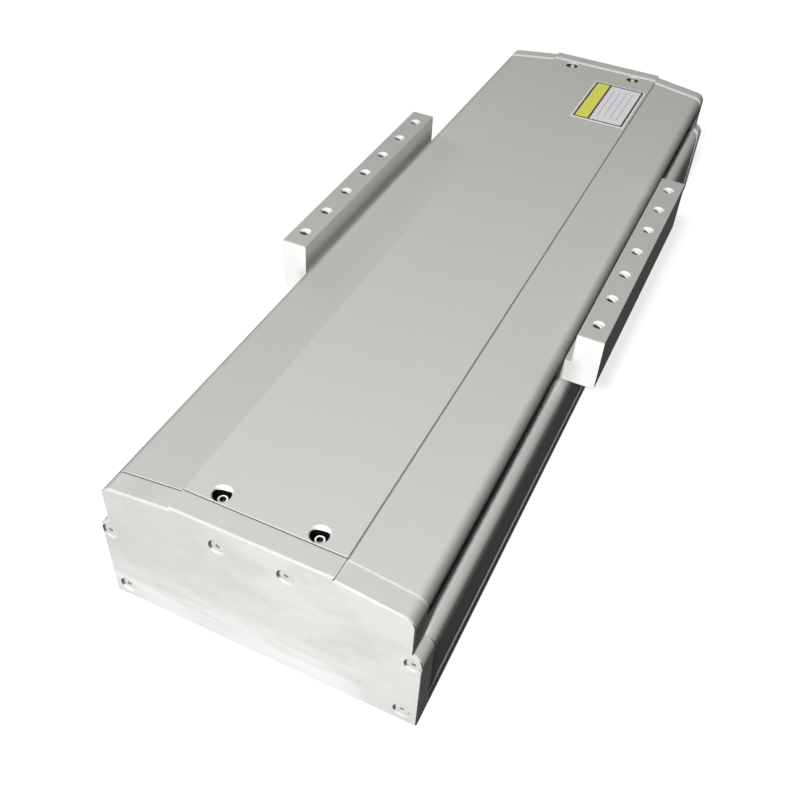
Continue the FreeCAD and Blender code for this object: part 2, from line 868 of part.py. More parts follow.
def make_cover_brackets():
    plate_thread = D.m5_radius + D.thread_clearance
    cover_thread = D.m4_radius + D.thread_clearance
    down = D.cover_bracket_height - D.thread_runout
    for name, side in (("front_cover_bracket", -1), ("rear_cover_bracket", 1)):
        start = plate_seat - D.cover_bracket_depth if side > 0 else -plate_seat
        body = block(2 * D.cover_bracket_half_width, D.cover_bracket_depth, D.cover_bracket_height,
                     as_size(0), start, cover_bracket_bottom)
        tools = []
        thread_start = plate_seat - plate_thread_depth if side > 0 else -plate_seat
        for x, z in top_screw_places:
            tools.append(rod(plate_thread, plate_thread_depth, x, thread_start, z))
        for x, y in both_sides(D.cover_screw_offset, side * cover_screw_y):
            tools.append(rod(cover_thread, down, x, y, rib_bottom - down, "z"))
        node(name, cut(body, tools))


# Profile rails and the four guide blocks

def make_rails():
    for name, side in (("left_guide_rail", -1), ("right_guide_rail", 1)):
        body = new_body(name)
        half = D.rail_width / 2
        section = sketch_on(body, "XZ_Plane")
        outline(section, [(-half, 0), (half, 0), (half, D.rail_height), (-half, D.rail_height)])
        pad(body, section, rail_length, symmetric=True)
        races = sketch_on(body, "XZ_Plane")
        circles(races, race_places(), D.race_radius)
        pocket(body, races, rail_length, symmetric=True)
        holes = sketch_on(body, "XY_Plane", D.rail_height)
        circles(holes, [(0, y) for y in rail_holes], D.m5_radius + D.hole_clearance)
        drill(body, holes, D.m5_radius + D.hole_clearance,
              counterbore=(D.m5_head_radius + D.head_clearance, D.rail_counterbore_depth))
        place(body, side * rail_offset, 0, rail_seat)
        node(name, body)


def race_places():
    return both_sides(race_offset, D.lower_race_height) + both_sides(race_offset, D.upper_race_height)


def channel_section(body, inset):
    """The guide block's section over the rail, its outside and channel cut back by an inset."""
    outer = D.block_width / 2 - inset
    channel = D.rail_width / 2 + D.block_channel_gap + inset / 2
    roof = D.rail_height + D.block_channel_roof
    foot = D.block_foot_gap + inset
    section = sketch_on(body, "XZ_Plane")
    outline(section, mirrored([
        (channel, roof),
        (channel, foot),
        (outer, foot),
        (outer, D.block_height - inset),
    ]))
    return section


def make_guide_blocks():
    for side_name, side in (("left", -1), ("right", 1)):
        caps = []
        seals = []
        balls = []
        for end_name, centre in zip(("rear", "front"), block_centres):
            body = new_body("block")
            pad(body, channel_section(body, as_size(0)), D.block_steel_length, symmetric=True)
            races = sketch_on(body, "XZ_Plane")
            circles(races, race_places(), D.race_radius)
            pocket(body, races, D.block_steel_length, symmetric=True)
            threads = sketch_on(body, "XY_Plane", D.block_height)
            places = [place_ for y in (D.block_bolt_y, -D.block_bolt_y)
                      for place_ in both_sides(D.block_bolt_x, y)]
            circles(threads, places, D.m5_radius + D.thread_clearance)
            pocket(body, threads, D.block_thread_depth)
            place(body, side * rail_offset, centre, rail_seat)
            node("%s_%s_guide_block" % (end_name, side_name), body)

            for outward in (1, -1):
                steel_end = centre + outward * D.block_steel_length / 2
                cap_middle = steel_end + outward * D.cap_length / 2
                seal_middle = steel_end + outward * (D.cap_length + D.seal_thickness / 2)
                caps.append(channel_slice(D.cap_length, D.cap_inset, side, cap_middle))
                seals.append(channel_slice(D.seal_thickness, 2 * D.cap_inset, side, seal_middle))
            ball = Part.makeSphere(float(D.guide_ball_radius))
            for x, z in race_places():
                for step in centred_row(D.guide_ball_pitch, D.guide_ball_count.number):
                    at = (side * rail_offset + x, centre + step, rail_seat + z)
                    balls += copies(ball, [at])
        group(side_name + "_block_end_caps", caps)
        group(side_name + "_block_end_seals", seals)
        group(side_name + "_block_balls", balls)


def channel_slice(length, inset, side, middle):
    """One cap or seal of a guide block, as a shape at its place."""
    body = new_body("slice")
    pad(body, channel_section(body, inset), length, symmetric=True)
    place(body, side * rail_offset, middle, rail_seat)
    doc.recompute()
    return body.Shape.copy()


# Saddle and its side arms

def make_saddle():
    body = new_body("saddle")
    section = sketch_on(body, "XZ_Plane")
    outline(section, mirrored([
        (tunnel_half_width, tunnel_top),
        (tunnel_half_width, block_top),
        (saddle_half_width, block_top),
        (saddle_half_width, arm_bottom),
        (saddle_ledge, arm_bottom),
        (saddle_ledge, arm_top),
    ]))
    pad(body, section, D.carriage_length, symmetric=True)

    clearance = D.m5_radius + D.hole_clearance
    head = D.m5_head_radius + D.head_clearance
    bracket_holes = sketch_on(body, "XY_Plane", arm_top)
    places = [place_ for y in (D.bracket_bolt_y, -D.bracket_bolt_y)
              for place_ in both_sides(D.bracket_bolt_x, y)]
    circles(bracket_holes, places, clearance)
    drill(body, bracket_holes, clearance, counterbore=(head, D.m5_head_height + D.seat_clearance))

    block_ys = [block_reach * row + D.block_bolt_y * bolt for row in (1, -1) for bolt in (1, -1)]
    for level, x in ((arm_top, rail_offset - D.block_bolt_x), (arm_bottom, rail_offset + D.block_bolt_x)):
        holes = sketch_on(body, "XY_Plane", level)
        circles(holes, [place_ for y in block_ys for place_ in both_sides(x, y)], clearance)
        drill(body, holes, clearance, counterbore=(head, level - block_screw_seat))

    threads = sketch_on(body, "XY_Plane", arm_bottom)
    circles(threads, arm_bolt_places(), D.m6_radius + D.thread_clearance)
    pocket(body, threads, arm_bottom - block_top - D.thread_runout)
    place(body, 0, D.carriage_rest, 0)
    node("saddle", body)


def arm_bolt_places():
    ys = (arm_bolt_outer, D.arm_bolt_inner, -D.arm_bolt_inner, -arm_bolt_outer)
    return [place_ for y in ys for place_ in both_sides(arm_bolt_offset, y)]


def make_side_arms():
    for name, angle in (("right_side_arm", 0), ("left_side_arm", 180)):
        body = new_body(name)
        start = saddle_ledge + D.seat_clearance
        section = sketch_on(body, "XZ_Plane")
        outline(section, [
            (start, arm_bottom),
            (bar_outer, arm_bottom),
            (bar_outer, bar_top),
            (bar_inner_offset, bar_top),
            (bar_inner_offset, arm_top),
            (start, arm_top),
        ])
        pad(body, section, D.carriage_length, symmetric=True)
        dress(body, "Chamfer", D.arm_edge_break, lies_on_z(bar_top))
        threads = sketch_on(body, "XY_Plane", bar_top)
        row = fitted_row(D.bar_hole_pitch, D.carriage_length, D.bar_hole_end_margin)
        circles(threads, [(bar_middle, y) for y in row], D.bar_hole_radius)
        drill(body, threads, D.bar_hole_radius, D.bar_hole_depth, countersink=D.bar_hole_mouth_radius)
        clearance = D.m6_radius + D.hole_clearance
        holes = sketch_on(body, "XY_Plane", arm_top)
        circles(holes, [(x, y) for x, y in arm_bolt_places() if float(x) > 0], clearance)
        drill(body, holes, clearance,
              counterbore=(D.m6_head_radius + D.head_clearance, D.m6_head_height + D.seat_clearance))
        place(body, 0, D.carriage_rest, 0, (0, 0, 1), angle)
        node(name, body)


# Ball screw, nut and nut bracket

def make_ball_screw():
    journal = D.journal_radius
    chamfer = D.shaft_chamfer
    groove_start = -(support_bearing_end + D.circlip_thickness)
    thread_end = fixed_bearing_start - D.spacer_length
    journal_end = fixed_bearing_end + D.lock_nut_length + chamfer
    drive_end = coupling_start + D.hub_length
    body = turned("ball_screw", [
        (0, -journal_front_end),
        (journal - chamfer, -journal_front_end),
        (journal, chamfer - journal_front_end),
        (journal, groove_start),
        (journal - D.circlip_groove_depth, groove_start),
        (journal - D.circlip_groove_depth, -support_bearing_end),
        (journal, -support_bearing_end),
        (journal, -screw_shoulder_front),
        (D.screw_radius - chamfer, -screw_shoulder_front),
        (D.screw_radius, chamfer - screw_shoulder_front),
        (D.screw_radius, thread_end - chamfer),
        (D.screw_radius - chamfer, thread_end),
        (journal, thread_end),
        (journal, journal_end),
        (D.drive_journal_radius, journal_end),
        (D.drive_journal_radius, drive_end - chamfer),
        (D.drive_journal_radius - chamfer, drive_end),
        (0, drive_end),
    ])
    place(body, 0, 0, screw_height)
    node("ball_screw", body)


def flange_places(first=30.0):
    return on_circle(D.flange_bolt_circle, D.flange_bolt_count.number, first)


def make_ball_nut():
    inner = nut_bore_radius
    wiper = D.wiper_outer_radius
    body = turned("ball_nut", [
        (wiper, 0),
        (D.flange_radius - D.shaft_chamfer, 0),
        (D.flange_radius, D.shaft_chamfer),
        (D.flange_radius, D.flange_thickness),
        (D.nut_radius, D.flange_thickness),
        (D.nut_radius, D.nut_length - D.shaft_chamfer),
        (D.nut_radius - D.shaft_chamfer, D.nut_length),
        (wiper, D.nut_length),
        (wiper, D.nut_length - D.wiper_thickness),
        (inner, D.nut_length - D.wiper_thickness),
        (inner, D.wiper_thickness),
        (wiper, D.wiper_thickness),
    ])
    holes = sketch_on(body, "XZ_Plane")
    circles(holes, flange_places(), D.m5_radius + D.hole_clearance)
    pocket(body, holes, D.flange_thickness)
    place(body, 0, nut_start, screw_height)
    node("ball_nut", body)

    wipers = []
    for y in (nut_start, nut_start + D.nut_length - D.wiper_thickness):
        ring = Part.makeCylinder(float(wiper - D.fit_clearance), float(D.wiper_thickness))
        ring = ring.cut(Part.makeCylinder(float(inner), float(D.wiper_thickness)))
        wipers += copies(ring, [(0, y, screw_height)], (0, 1, 0))
    group("nut_wipers", wipers)


def make_nut_bracket():
    body = block(2 * D.bracket_half_width, D.bracket_length, tunnel_top - bracket_bottom,
                 as_size(0), nut_bracket_start, bracket_bottom)
    tools = [rod(D.nut_radius + D.fit_clearance, D.bracket_length, 0, nut_bracket_start, screw_height)]
    for x, z in flange_places():
        tools.append(rod(D.m5_radius + D.thread_clearance, D.flange_thread_depth,
                         x, nut_bracket_start, z + screw_height))
    for y in (D.bracket_bolt_y, -D.bracket_bolt_y):
        for x, along in both_sides(D.bracket_bolt_x, D.carriage_rest + y):
            tools.append(rod(D.m5_radius + D.thread_clearance, D.bracket_thread_depth,
                             x, along, tunnel_top - D.bracket_thread_depth, "z"))
    node("nut_bracket", cut(body, tools))


# Bearings, their housings and what clamps them

def bearing_parts(start):
    """Outer ring, inner ring and balls of one bearing that starts at a Y."""
    outer = float(D.bearing_radius)
    bore = float(D.journal_radius + D.fit_clearance)
    wall = float(D.ring_wall)
    width = float(D.bearing_width)
    pitch = (outer + bore) / 2
    race = Part.makeTorus(pitch, float(D.bearing_race_radius), vector(0, 0, width / 2))
    outer_ring = Part.makeCylinder(outer, width).cut(Part.makeCylinder(outer - wall, width)).cut(race)
    inner_ring = Part.makeCylinder(bore + wall, width).cut(Part.makeCylinder(bore, width)).cut(race)
    ball = Part.makeSphere(float(D.bearing_ball_radius))
    places = [(x, start + D.bearing_width / 2, z + screw_height)
              for x, z in on_circle(as_size(pitch), D.bearing_ball_count.number)]
    at = [(0, start, screw_height)]
    return copies(outer_ring, at, (0, 1, 0)), copies(inner_ring, at, (0, 1, 0)), copies(ball, places)


def make_bearings():
    outer, inner, balls = bearing_parts(-support_bearing_end)
    group("support_bearing_outer_ring", outer)
    group("support_bearing_inner_ring", inner)
    group("support_bearing_balls", balls)
    outer, inner, balls = bearing_parts(fixed_bearing_start)
    second = bearing_parts(fixed_bearing_start + D.bearing_width)
    group("fixed_bearing_outer_rings", outer + second[0])
    group("fixed_bearing_inner_rings", inner + second[1])
    group("fixed_bearing_balls", balls + second[2])


def retainer_bolt_places():
    return on_circle(retainer_bolt_circle, D.retainer_bolt_count.number, 45.0)


def make_housings():
    bore = D.bearing_radius + D.fit_clearance
    bolt_hole = D.m6_radius + D.hole_clearance
    height = housing_top - D.floor_thickness
    width = 2 * housing_half_width

    body = block(width, D.support_housing_length, height, as_size(0), -plate_seat, D.floor_thickness)
    tools = [
        rod(bore, D.support_housing_length - D.support_lip, 0, -plate_seat, screw_height),
        rod(housing_lip_radius, D.support_housing_length, 0, -plate_seat, screw_height),
    ]
    for y in support_bolt_y:
        for x, z in both_sides(housing_bolt_offset, D.floor_thickness):
            tools.append(rod(bolt_hole, height, x, -y, z, "z"))
    node("support_bearing_housing", cut(body, tools))

    body = block(width, D.fixed_housing_length, height, as_size(0), fixed_housing_start, D.floor_thickness)
    tools = [
        rod(bore, D.fixed_housing_length - D.fixed_lip, 0, fixed_bearing_start, screw_height),
        rod(housing_lip_radius, D.fixed_housing_length, 0, fixed_housing_start, screw_height),
    ]
    for y in fixed_bolt_y:
        for x, z in both_sides(housing_bolt_offset, D.floor_thickness):
            tools.append(rod(bolt_hole, height, x, y, z, "z"))
    thread = D.m4_radius + D.thread_clearance
    for x, z in retainer_bolt_places():
        tools.append(rod(thread, D.retainer_thread_depth, x, fixed_housing_end - D.retainer_thread_depth,
                         z + screw_height))
    node("fixed_bearing_housing", cut(body, tools))


def make_bearing_clamps():
    plate = rod(retainer_radius, D.retainer_thickness, 0, fixed_housing_end, screw_height)
    spigot_length = fixed_housing_end - fixed_bearing_end + D.retainer_thickness
    spigot = rod(D.bearing_radius - D.fit_clearance, spigot_length, 0, fixed_bearing_end, screw_height)
    tools = [rod(retainer_bore_radius, D.retainer_thickness + D.fixed_housing_length,
                 0, fixed_housing_start, screw_height)]
    for x, z in retainer_bolt_places():
        tools.append(rod(D.m4_radius + D.hole_clearance, D.retainer_thickness,
                         x, fixed_housing_end, z + screw_height))
    node("bearing_retainer_plate", cut(fuse([plate, spigot]), tools))

    bore = D.journal_radius + D.fit_clearance
    sleeve = rod(bore + D.ring_wall, D.spacer_length, 0, fixed_bearing_start - D.spacer_length, screw_height)
    hollow = rod(bore, D.spacer_length, 0, fixed_bearing_start - D.spacer_length, screw_height)
    node("bearing_spacer", cut(sleeve, [hollow]))

    ring = rod(D.lock_nut_radius, D.lock_nut_length, 0, fixed_bearing_end, screw_height)
    tools = [rod(bore, D.lock_nut_length, 0, fixed_bearing_end, screw_height)]
    for x, z in on_circle(D.lock_nut_radius, D.lock_nut_slot_count.number):
        tools.append(block(D.lock_nut_slot, D.lock_nut_length, D.lock_nut_slot, x,
                           fixed_bearing_end, z + screw_height - D.lock_nut_slot / 2))
    node("lock_nut", cut(ring, tools))

    clip = doc.addObject("Part::Cylinder", "clip")
    bind(clip, "Radius", D.journal_radius + D.circlip_rise)
    bind(clip, "Height", D.circlip_thickness - 2 * D.fit_clearance)
    bind(clip, "Angle", D.circlip_angle)
    clip_start = D.fit_clearance - support_bearing_end - D.circlip_thickness
    place(clip, 0, clip_start, screw_height, (1, 0, 0), -90)
    groove = rod(D.journal_radius - D.circlip_groove_depth + D.fit_clearance, D.circlip_thickness,
                 0, -support_bearing_end - D.circlip_thickness, screw_height)
    node("support_circlip", cut(clip, [groove]))


def make_bumpers():
    for name, start, facing in (
            ("front_bumpers", -support_housing_end, 1), ("rear_bumpers", fixed_housing_start, -1)):
        post = Part.makeCylinder(float(D.bumper_radius), float(D.bumper_length))
        rim = [edge for edge in post.Edges if edge.BoundBox.ZMin > float(D.bumper_length) - 0.01]
        post = post.makeFillet(float(D.bumper_edge_share * D.bumper_radius), rim)
        places = [(x, start, bumper_height) for x, in both_sides(bumper_offset)]
        group(name, copies(post, places, (0, facing, 0)))


# Jaw coupling: two clamp hubs and the elastic spider between their jaws

def sector(radius, length, angle, turn, y):
    """A slice of a cylinder about the screw's axis, centred on an angle from +X."""
    thing = doc.addObject("Part::Cylinder", "sector")
    bind(thing, "Radius", radius)
    bind(thing, "Height", length)
    bind(thing, "Angle", angle)
    spin = FreeCAD.Rotation(vector(0, 1, 0), -turn - float(angle) / 2)
    lay = FreeCAD.Rotation(vector(1, 0, 0), -90)
    thing.Placement = FreeCAD.Placement(vector(0, y, screw_height), spin.multiply(lay))
    bind(thing, "Placement.Base.y", y)
    bind(thing, "Placement.Base.z", screw_height)
    return thing


def make_coupling():
    jaw_start = coupling_start + D.hub_length
    second_start = jaw_start + D.jaw_length
    bore = D.drive_journal_radius + D.fit_clearance
    grip = D.jaw_length - D.jaw_gap
    for name, start, jaws_from, turn in (
            ("screw_coupling_hub", coupling_start, jaw_start, 0.0),
            ("motor_coupling_hub", second_start, second_start - grip, 60.0)):
        hub = rod(D.coupling_radius, D.hub_length, 0, start, screw_height)
        jaws = [sector(D.coupling_radius, grip, D.jaw_angle, turn + 120.0 * i, jaws_from) for i in range(3)]
        root = rod(D.jaw_root_radius, D.jaw_length, 0, jaw_start, screw_height)
        jaw_ring = cut(fuse(jaws), [root])
        shaft_hole = rod(bore, D.hub_length, 0, start, screw_height)
        screw_hole = rod(D.m5_radius + D.thread_clearance, 2 * D.coupling_radius,
                         -D.coupling_radius, start + D.hub_length / 2,
                         screw_height + D.clamp_screw_offset, "x")
        node(name, cut(fuse([hub, jaw_ring]), [shaft_hole, screw_hole]))

    leg_radius = D.coupling_radius - D.jaw_gap
    legs = [sector(leg_radius, D.jaw_length, D.spider_leg_angle, 30.0 + 60.0 * i, jaw_start)
            for i in range(6)]
    core = rod(D.jaw_root_radius - D.fit_clearance, D.jaw_length, 0, jaw_start, screw_height)
    eye = rod(D.jaw_root_radius / 2, D.jaw_length, 0, jaw_start, screw_height)
    node("coupling_spider", cut(fuse([core] + legs), [eye]))

    length = float(D.coupling_radius)
    pin = Part.makeCylinder(float(D.m5_radius), length, vector(0, 0, -length / 2))
    pin = pin.cut(hexagon(D.m5_socket, float(D.m5_radius), length / 2))
    places = [(0, start + D.hub_length / 2, screw_height + D.clamp_screw_offset)
              for start in (coupling_start, second_start)]
    group("coupling_clamp_screws", copies(pin, places, (1, 0, 0)))


# Screws and bolts, each kind in one node

def make_screws():
    sunk = sunk_screw(D.plate_screw_length)
    for name, side in (("front_plate_screws", -1), ("rear_plate_screws", 1)):
        places = [(x, side * (half_length - D.sink_gap), z) for x, z in plate_screw_places]
        group(name, copies(sunk, places, (0, side, 0)))

    seat = cover_top - D.cover_bore_depth
    cover_screw = cap_screw("m4", D.cover_screw_length)
    for name, side in (("front_cover_screws", -1), ("rear_cover_screws", 1)):
        places = [(x, y, seat) for x, y in both_sides(D.cover_screw_offset, side * cover_screw_y)]
        group(name, copies(cover_screw, places))

    seat = rail_seat + D.rail_height - D.rail_counterbore_depth
    rail_bolt = cap_screw("m5", seat - rail_seat + D.rail_thread_depth - D.thread_runout)
    for name, side in (("left_rail_bolts", -1), ("right_rail_bolts", 1)):
        places = [(side * rail_offset, y, seat) for y in rail_holes]
        group(name, copies(rail_bolt, places))

    block_bolt = cap_screw("m5", block_screw_seat - block_top + D.block_thread_depth - D.thread_runout)
    places = []
    for centre in block_centres:
        for along in (D.block_bolt_y, -D.block_bolt_y):
            for across in (D.block_bolt_x, -D.block_bolt_x):
                places += [(x, y, block_screw_seat)
                           for x, y in both_sides(rail_offset + across, centre + along)]
    group("guide_block_bolts", copies(block_bolt, places))

    head_room = D.m6_head_height + D.seat_clearance
    arm_thread = arm_bottom - block_top - 2 * D.thread_runout
    arm_bolt = cap_screw("m6", D.arm_foot_thickness - head_room + arm_thread)
    places = [(x, y + D.carriage_rest, arm_top - head_room) for x, y in arm_bolt_places()]
    group("left_arm_bolts", copies(arm_bolt, [at for at in places if float(at[0]) < 0]))
    group("right_arm_bolts", copies(arm_bolt, [at for at in places if float(at[0]) > 0]))

    head_room = D.m5_head_height + D.seat_clearance
    bracket_bolt = cap_screw("m5", D.tunnel_roof - head_room + D.bracket_thread_depth - D.thread_runout)
    places = [(x, y + D.carriage_rest, arm_top - head_room)
              for along in (D.bracket_bolt_y, -D.bracket_bolt_y)
              for x, y in both_sides(D.bracket_bolt_x, along)]
    group("nut_bracket_bolts", copies(bracket_bolt, places))

    flange_bolt = cap_screw("m5", D.flange_thickness + D.flange_thread_depth - D.thread_runout)
    places = [(x, nut_start, z + screw_height) for x, z in flange_places()]
    group("nut_flange_bolts", copies(flange_bolt, places, (0, -1, 0)))

    retainer_screw = cap_screw("m4", D.retainer_thickness + D.retainer_thread_depth - D.thread_runout)
    places = [(x, fixed_housing_end + D.retainer_thickness, z + screw_height)
              for x, z in retainer_bolt_places()]
    group("retainer_screws", copies(retainer_screw, places, (0, 1, 0)))

    housing_bolt = cap_screw("m6", housing_top - D.floor_thickness + D.housing_thread_depth - D.thread_runout)
    places = [(x, -y, housing_top) for y in support_bolt_y for x, in both_sides(housing_bolt_offset)]
    group("support_housing_bolts", copies(housing_bolt, places))
    places = [(x, y, housing_top) for y in fixed_bolt_y for x, in both_sides(housing_bolt_offset)]
    group("fixed_housing_bolts", copies(housing_bolt, places))


# Blank label on the cover's raised centre

def make_label():
    y = half_length - D.label_setback - D.label_length
    node("blank_label", block(label_width, D.label_length, D.label_thickness,
                              D.label_inner_offset + label_width / 2, y, cover_top))


make_base_extrusion()
make_top_cover()
make_end_plates()
make_cover_brackets()
make_rails()
make_guide_blocks()
make_saddle()
make_side_arms()
make_ball_screw()
make_ball_nut()
make_nut_bracket()
make_bearings()
make_housings()
make_bearing_clamps()
make_bumpers()
make_coupling()
make_screws()
make_label()
doc.recompute()

# Check every object, then write each sub-part to its own file

for thing in doc.Objects:
    if "Invalid" in thing.State or "Error" in thing.State:
        raise RuntimeError("%s is in a failed state: %s" % (thing.Name, thing.State))
for name, thing in NODES.items():
    if thing.Shape.isNull() or not thing.Shape.isValid() or not thing.Shape.Solids:
        raise RuntimeError(name + " has no valid solid")

os.makedirs("parts", exist_ok=True)
for name, thing in NODES.items():
    thing.Shape.exportStep("parts/%s.step" % name)
    print("%s %d solids %.1f cm3" % (name, len(thing.Shape.Solids), thing.Shape.Volume / 1000))
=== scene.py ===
import json
import math

import bpy
from mathutils import Matrix, Vector


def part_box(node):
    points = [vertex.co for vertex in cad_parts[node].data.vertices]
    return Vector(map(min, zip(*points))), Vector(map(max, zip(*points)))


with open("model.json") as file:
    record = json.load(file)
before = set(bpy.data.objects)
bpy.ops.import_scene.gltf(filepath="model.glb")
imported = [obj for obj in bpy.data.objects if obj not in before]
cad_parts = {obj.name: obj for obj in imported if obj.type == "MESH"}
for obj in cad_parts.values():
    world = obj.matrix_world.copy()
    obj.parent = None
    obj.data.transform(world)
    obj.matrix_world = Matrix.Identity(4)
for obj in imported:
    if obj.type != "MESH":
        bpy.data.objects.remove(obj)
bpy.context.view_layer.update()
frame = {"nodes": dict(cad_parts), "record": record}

# Corners of the pieces that the marks follow, and sizes of the part, in metres

COVER_LOW, COVER_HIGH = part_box("top_cover")
BASE_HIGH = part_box("base_extrusion")[1]
ARM_LOW, ARM_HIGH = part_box("right_side_arm")
SCREWS_LOW, SCREWS_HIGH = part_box("front_cover_screws")
BORE_GAP = 0.0026
BORE_MOUTH = 0.0010
SCREW_RADIUS = (SCREWS_HIGH.y - SCREWS_LOW.y) / 2
BORE_RADIUS = SCREW_RADIUS + BORE_GAP
BAR_WIDTH = 0.0200
BAR_INNER = ARM_HIGH.x - BAR_WIDTH
CENTRE_HALF = 0.0538
STEP_HEIGHT = 0.0021
SHOULDER_FOOT = 0.0660
SHOULDER_WIDTH = 0.0103

# Colours that several marks share: a painted shade, a darker painted shade for the slots and a painted
# highlight

SHADE = (0.16, 0.16, 0.15)
SLOT_SHADE = (0.06, 0.06, 0.06)
PAINTED_HIGHLIGHT = (1.0, 1.0, 0.98)


# Node graphs, in metres of the row frame

class Graph:
    """Adds shader nodes to one node tree. A value is a number or the output of a node."""

    def __init__(self, tree):
        self.nodes = tree.nodes
        self.links = tree.links

    def add(self, kind, settings=None, inputs=None):
        node = self.nodes.new("ShaderNode" + kind)
        for key, value in (settings or {}).items():
            setattr(node, key, value)
        for key, value in (inputs or {}).items():
            self.feed(node.inputs[key], value)
        return node

    def feed(self, socket, value):
        if isinstance(value, bpy.types.NodeSocket):
            self.links.new(value, socket)
        else:
            socket.default_value = value

    def math(self, operation, a, b=0.0, c=0.0, clamp=False):
        settings = {"operation": operation, "use_clamp": clamp}
        return self.add("Math", settings, {0: a, 1: b, 2: c}).outputs[0]

    def product(self, first, *others):
        """All the values multiplied."""
        result = first
        for value in others:
            result = self.math("MULTIPLY", result, value)
        return result

    def total(self, parts, start=0.0):
        """start plus each value times its amount."""
        result = start
        for value, amount in parts:
            result = self.math("MULTIPLY_ADD", value, amount, result)
        return result

    def flip(self, mask):
        """1 where the mask is 0, and 0 where it is 1."""
        return self.math("SUBTRACT", 1.0, mask)

    def size(self, value):
        """The value without its sign."""
        return self.math("ABSOLUTE", value)

    def above(self, value, limit):
        return self.math("GREATER_THAN", value, limit)

    def below(self, value, limit):
        return self.math("LESS_THAN", value, limit)

    def between(self, value, start, end):
        return self.product(self.above(value, start), self.below(value, end))

    def ramp(self, value, start, end, low=0.0, high=1.0):
        """Goes softly from low at start to high at end; start may be the larger of the two."""
        settings = {"interpolation_type": "SMOOTHSTEP"}
        inputs = {"Value": value, "From Min": start, "From Max": end, "To Min": low, "To Max": high}
        return self.add("MapRange", settings, inputs).outputs["Result"]


class Surface(Graph):
    """The nodes of one material around its main shader."""

    def __init__(self, name):
        self.material = bpy.data.materials.new(name)
        self.material.use_nodes = True
        super().__init__(self.material.node_tree)
        self.shader = self.nodes["Principled BSDF"]
        coordinates = self.add("TexCoord").outputs
        self.place = coordinates["Object"]
        self.normal = coordinates["Normal"]

    def part(self, vector, name, size):
        """One part of a vector, or its size without the sign."""
        value = self.add("SeparateXYZ", None, {0: vector}).outputs[name]
        return self.size(value) if size else value

    def axis(self, name, size=False):
        """One coordinate of the place."""
        return self.part(self.place, name, size)

    def slope(self, name, size=False):
        """One part of the surface's normal."""
        return self.part(self.normal, name, size)

    def facing(self, name):
        """1 on the flat faces that look along the named axis, either way."""
        straight = 0.98
        return self.above(self.slope(name, size=True), straight)

    def depth(self, top):
        """How far the place lies below the height top."""
        return self.math("SUBTRACT", top, self.axis("Z"))

    def noise(self, scale, detail=2.0, roughness=0.5):
        """Noise about zero, from -0.5 to 0.5; scale is cycles per metre along X, Y and Z."""
        stretched = self.add("Mapping", None, {"Vector": self.place, "Scale": scale}).outputs["Vector"]
        inputs = {"Vector": stretched, "Scale": 1.0, "Detail": detail, "Roughness": roughness}
        return self.math("SUBTRACT", self.add("TexNoise", None, inputs).outputs["Fac"], 0.5)

    def clouds(self, layers, start=1.0):
        """start plus each layer, a (scale, amount) noise."""
        return self.total([(self.noise(scale), amount) for scale, amount in layers], start)

    def over(self, color, mask, top):
        """color with top laid over it where mask is 1."""
        return self.add("Mix", {"data_type": "RGBA"}, {0: mask, 6: color, 7: (*top, 1.0)}).outputs[2]

    def marked(self, color, marks):
        """color with each (mask function, strength, color) laid over it in turn."""
        for mask, strength, top in marks:
            color = self.over(color, self.product(mask(self), strength), top)
        return color

    def shaded(self, color, tone):
        """color with its brightness times tone."""
        return self.add("HueSaturation", None, {"Color": color, "Value": tone}).outputs["Color"]

    def edges(self, radius, gain):
        """A mask that is 1 on the edges, for their wear and painted highlights, and the normal that
        rounds them.
        """
        bevel = self.add("Bevel", {"samples": 6}, {"Radius": radius}).outputs[0]
        flat = self.add("NewGeometry").outputs["Normal"]
        turn = self.add("VectorMath", {"operation": "DOT_PRODUCT"}, {0: bevel, 1: flat})
        away = self.flip(turn.outputs["Value"])
        return self.math("MULTIPLY", away, gain, clamp=True), bevel

    def bump(self, scale, depth, detail=3.0, normal=None):
        """The normal that a noise of the given depth in metres makes."""
        inputs = {"Height": self.noise(scale, detail), "Distance": depth, "Strength": 1.0}
        if normal is not None:
            inputs["Normal"] = normal
        return self.add("Bump", None, inputs).outputs["Normal"]


materials = {}


def finish(name, color, metallic, roughness, clouds=(), rough_clouds=(), grain=None, grooves=None,
           edge=None, marks=(), painted_light_and_shade=(), specular=0.5, coat=0.0, coat_roughness=0.1):
    """Makes the material of a solid surface.

    clouds and rough_clouds hold (scale, amount) noises, grain and grooves are (scale, depth in
    metres) for the bump, edge is (radius, gain, color) for the edges' wear and painted highlights,
    and marks and the list after it hold (mask function, strength, color) that go over the base
    color: marks lie under the edges, and the list after marks, which holds painted light and shade,
    lies over them.
    """
    graph = Surface(name)
    inputs = graph.shader.inputs
    inputs["Metallic"].default_value = metallic
    inputs["Specular IOR Level"].default_value = specular
    inputs["Coat Weight"].default_value = coat
    inputs["Coat Roughness"].default_value = coat_roughness
    base = graph.marked((*color, 1.0), marks)
    shade = graph.shaded(base, graph.clouds(clouds))
    normal = None
    if edge is not None:
        radius, gain, edge_color = edge
        # The edges get the edge colour: wear, and painted highlights where the light catches them
        wear_and_highlight, normal = graph.edges(radius, gain)
        patches = graph.clouds([(even(60.0), 1.2)], 0.75)
        shade = graph.over(shade, graph.math("MULTIPLY", wear_and_highlight, patches, clamp=True), edge_color)
    graph.feed(inputs["Base Color"], graph.marked(shade, painted_light_and_shade))
    graph.feed(inputs["Roughness"], graph.clouds(rough_clouds, roughness))
    for layer in (grain, grooves):
        if layer is not None:
            normal = graph.bump(*layer, normal=normal)
    if normal is not None:
        graph.feed(inputs["Normal"], normal)
    materials[name] = graph.material


def even(scale):
    """A noise scale that is the same along all axes."""
    return (scale, scale, scale)


def along_y(across, along):
    """A noise scale for marks that run along the travel."""
    return (across, along, across)


# Masks of the end plates

def end_faces(graph):
    """The flat faces that look along the travel."""
    return graph.facing("Y")


